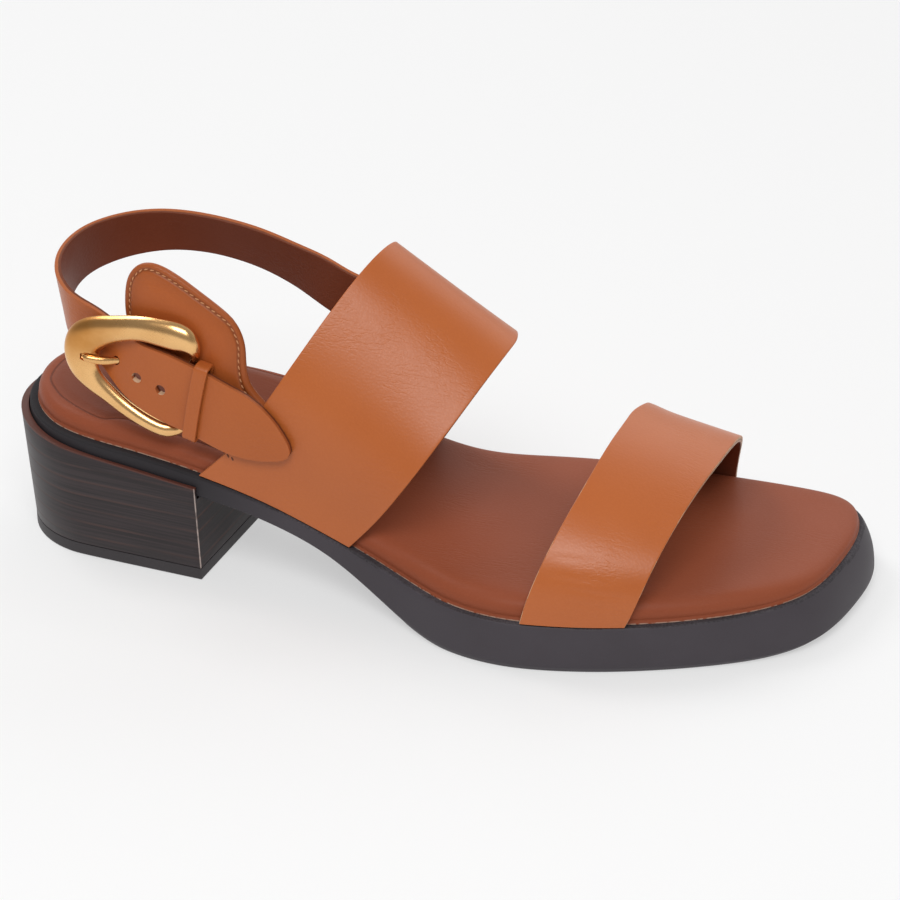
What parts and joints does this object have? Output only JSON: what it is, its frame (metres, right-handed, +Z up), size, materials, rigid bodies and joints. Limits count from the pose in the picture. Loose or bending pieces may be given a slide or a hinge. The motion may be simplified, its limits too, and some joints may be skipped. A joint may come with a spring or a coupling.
{
  "type": "slingback block-heel sandal",
  "caption": "Right-foot leather slingback sandal with wide toe and instep straps, a buckled heel strap, padded footbed, rubber sole and block heel.",
  "frame": {"origin": "middle of the overall footprint, on the floor that the sole and heel stand on", "axes": "+X towards the toe, +Y towards the inner (medial) side of the foot, +Z up"},
  "size_m": [0.2496, 0.095, 0.0974],
  "materials": {
    "sole_rubber": "matte charcoal",
    "heel_stack": "satin, stacked brown-black",
    "heel_rubber": "matte black",
    "footbed_leather": "satin rust brown",
    "strap_leather": "satin tan",
    "buckle_gold": "antique gold, softly polished"
  },
  "bodies": {
    "root": {"outsole": "sole_rubber", "heel_block": "heel_stack", "heel_top_lift": "heel_rubber", "footbed": "footbed_leather", "toe_strap": "strap_leather", "instep_strap": "strap_leather", "heel_strap": "strap_leather", "buckle_pad": "strap_leather", "keeper_loop": "strap_leather", "buckle_frame": "buckle_gold", "buckle_prong": "buckle_gold"}
  },
  "joints": []
}
